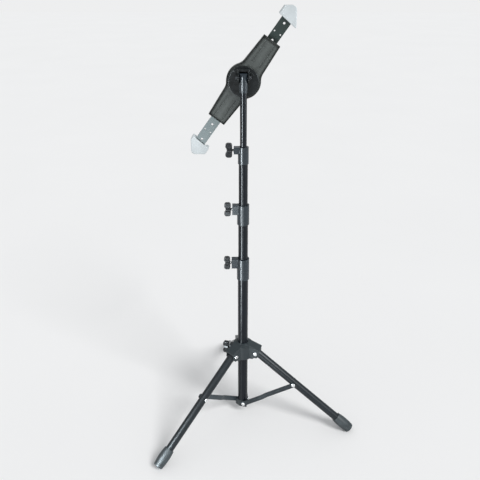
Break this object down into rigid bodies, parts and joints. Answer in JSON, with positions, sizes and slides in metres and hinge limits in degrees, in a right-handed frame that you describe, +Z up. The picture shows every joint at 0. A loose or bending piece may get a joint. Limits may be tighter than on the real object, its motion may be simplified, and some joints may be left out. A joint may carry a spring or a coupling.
{
  "type": "adjustable tablet floor stand",
  "caption": "Tablet floor stand: telescoping mast with clamp knobs on a folding tripod, with a turning, tilting diagonal holder whose sliding corner claws grip a tablet.",
  "frame": {"origin": "on the floor under the centre of the bounding box; the mast's axis stands 31.9 mm towards -X and 34.6 mm towards -Y of it", "axes": "+Z up along the mast, -Y towards the viewer of the picture, who sees the back of the holder, +X to that viewer's right"},
  "size_m": [0.4398, 0.445, 0.9012],
  "materials": {
    "black_enamel": "gloss",
    "black_plastic": "satin",
    "grey_plastic": "satin",
    "pale_plastic": "matte",
    "soft_rubber": "matte",
    "foot_rubber": "matte",
    "brushed_strip": "brushed",
    "bright_steel": "polished"
  },
  "bodies": {
    "lower_mast": {"lower_mast_tube": "black_enamel", "foot_plug": "black_plastic", "foot_plug_rivets": "bright_steel", "lower_collar": "black_plastic", "lower_collar_nut": "bright_steel"},
    "second_mast": {"second_mast_tube": "black_enamel", "second_tube_guide": "black_plastic", "middle_collar": "black_plastic", "middle_collar_nut": "bright_steel"},
    "third_mast": {"third_mast_tube": "black_enamel", "third_tube_guide": "black_plastic", "upper_collar": "black_plastic", "upper_collar_nut": "bright_steel"},
    "top_mast": {"top_mast_tube": "black_enamel", "top_tube_guide": "black_plastic", "mast_head": "black_plastic"},
    "tilt_head": {"swivel_plate": "black_enamel", "tilt_bolt": "bright_steel", "tilt_nut": "bright_steel", "axle_washer": "bright_steel", "axle_screw": "bright_steel"},
    "holder": {"holder_body": "grey_plastic", "holder_cover": "grey_plastic", "holder_pad": "soft_rubber", "holder_screws": "bright_steel", "upper_arm_spring": "bright_steel", "lower_arm_spring": "bright_steel"},
    "upper_arm": {"upper_arm_strip": "brushed_strip", "upper_claw": "pale_plastic", "upper_claw_screws": "bright_steel"},
    "lower_arm": {"lower_arm_strip": "brushed_strip", "lower_claw": "pale_plastic", "lower_claw_screws": "bright_steel"},
    "crown": {"crown_hub": "black_plastic", "crown_rivets": "bright_steel", "crown_nut": "bright_steel"},
    "lower_knob": {"lower_knob": "black_plastic", "lower_knob_stud": "bright_steel"},
    "middle_knob": {"middle_knob": "black_plastic", "middle_knob_stud": "bright_steel"},
    "upper_knob": {"upper_knob": "black_plastic", "upper_knob_stud": "bright_steel"},
    "crown_knob": {"crown_knob": "black_plastic", "crown_knob_stud": "bright_steel"},
    "right_leg": {"right_leg_tube": "black_enamel", "right_foot": "foot_rubber", "right_leg_rivet": "bright_steel"},
    "right_brace": {"right_brace": "black_enamel", "right_brace_rivet": "bright_steel"},
    "left_leg": {"left_leg_tube": "black_enamel", "left_foot": "foot_rubber", "left_leg_rivet": "bright_steel"},
    "left_brace": {"left_brace": "black_enamel", "left_brace_rivet": "bright_steel"},
    "rear_leg": {"rear_leg_tube": "black_enamel", "rear_foot": "foot_rubber", "rear_leg_rivet": "bright_steel"},
    "rear_brace": {"rear_brace": "black_enamel", "rear_brace_rivet": "bright_steel"}
  },
  "joints": [
    {"name": "second_mast_slide", "type": "slide", "parent": "lower_mast", "child": "second_mast", "axis": [0, 0, 1], "range_m": [-0.077, 0.175]},
    {"name": "third_mast_slide", "type": "slide", "parent": "second_mast", "child": "third_mast", "axis": [0, 0, 1], "range_m": [-0.084, 0.168]},
    {"name": "top_mast_slide", "type": "slide", "parent": "third_mast", "child": "top_mast", "axis": [0, 0, 1], "range_m": [-0.101, 0.175]},
    {"name": "head_tilt", "type": "hinge", "parent": "top_mast", "child": "tilt_head", "pos_m": [-0.03194, -0.0346, 0.78049], "axis": [1, 0, 0], "range_deg": [0, 80]},
    {"name": "holder_turn", "type": "hinge", "parent": "tilt_head", "child": "holder", "pos_m": [-0.03194, -0.0182, 0.77099], "axis": [0, 1, 0], "continuous": true},
    {"name": "upper_arm_slide", "type": "slide", "parent": "holder", "child": "upper_arm", "axis": [0.5878, 0, 0.809], "range_m": [-0.038, 0.02], "deforming": ["upper_arm_spring"]},
    {"name": "lower_arm_slide", "type": "slide", "parent": "holder", "child": "lower_arm", "axis": [-0.5878, 0, -0.809], "range_m": [-0.038, 0.02], "deforming": ["lower_arm_spring"]},
    {"name": "crown_slide", "type": "slide", "parent": "lower_mast", "child": "crown", "axis": [0, 0, 1], "range_m": [0, 0.1028]},
    {"name": "lower_knob_turn", "type": "hinge", "parent": "lower_mast", "child": "lower_knob", "pos_m": [-0.05894, -0.0346, 0.40099], "axis": [-1, 0, 0], "range_deg": [0, 720]},
    {"name": "middle_knob_turn", "type": "hinge", "parent": "second_mast", "child": "middle_knob", "pos_m": [-0.05694, -0.0346, 0.52249], "axis": [-1, 0, 0], "range_deg": [0, 720]},
    {"name": "upper_knob_turn", "type": "hinge", "parent": "third_mast", "child": "upper_knob", "pos_m": [-0.05344, -0.0346, 0.64499], "axis": [-1, 0, 0], "range_deg": [0, 720]},
    {"name": "crown_knob_turn", "type": "hinge", "parent": "crown", "child": "crown_knob", "pos_m": [-0.06382, -0.02606, 0.17899], "axis": [-0.9659, 0.2588, 0], "range_deg": [0, 720]},
    {"name": "right_leg_fold", "type": "hinge", "parent": "crown", "child": "right_leg", "pos_m": [-0.00132, -0.04281, 0.17899], "axis": [0.2588, 0.9659, 0], "range_deg": [0, 52.3]},
    {"name": "right_brace_fold", "type": "hinge", "parent": "lower_mast", "child": "right_brace", "pos_m": [-0.0303, -0.04664, 0.03049], "axis": [-0.2588, -0.9659, 0], "range_deg": [0, 44.66]},
    {"name": "left_leg_fold", "type": "hinge", "parent": "crown", "child": "left_leg", "pos_m": [-0.05436, -0.05702, 0.17899], "axis": [0.7071, -0.7071, 0], "range_deg": [0, 52.3]},
    {"name": "left_brace_fold", "type": "hinge", "parent": "lower_mast", "child": "left_brace", "pos_m": [-0.04318, -0.03001, 0.03049], "axis": [-0.7071, 0.7071, 0], "range_deg": [0, 44.66]},
    {"name": "rear_leg_fold", "type": "hinge", "parent": "crown", "child": "rear_leg", "pos_m": [-0.0369, -0.00329, 0.17899], "axis": [-0.9877, -0.1564, 0], "range_deg": [0, 52.3]},
    {"name": "rear_brace_fold", "type": "hinge", "parent": "lower_mast", "child": "rear_brace", "pos_m": [-0.02161, -0.02821, 0.03049], "axis": [0.9877, 0.1564, 0], "range_deg": [0, 44.66]}
  ],
  "couplings": [
    {"joint": "right_leg_fold", "follows": "crown_slide", "rad_per_m": 8.8798},
    {"joint": "right_brace_fold", "follows": "crown_slide", "rad_per_m": 7.582},
    {"joint": "left_leg_fold", "follows": "crown_slide", "rad_per_m": 8.8798},
    {"joint": "left_brace_fold", "follows": "crown_slide", "rad_per_m": 7.582},
    {"joint": "rear_leg_fold", "follows": "crown_slide", "rad_per_m": 8.8798},
    {"joint": "rear_brace_fold", "follows": "crown_slide", "rad_per_m": 7.582}
  ]
}
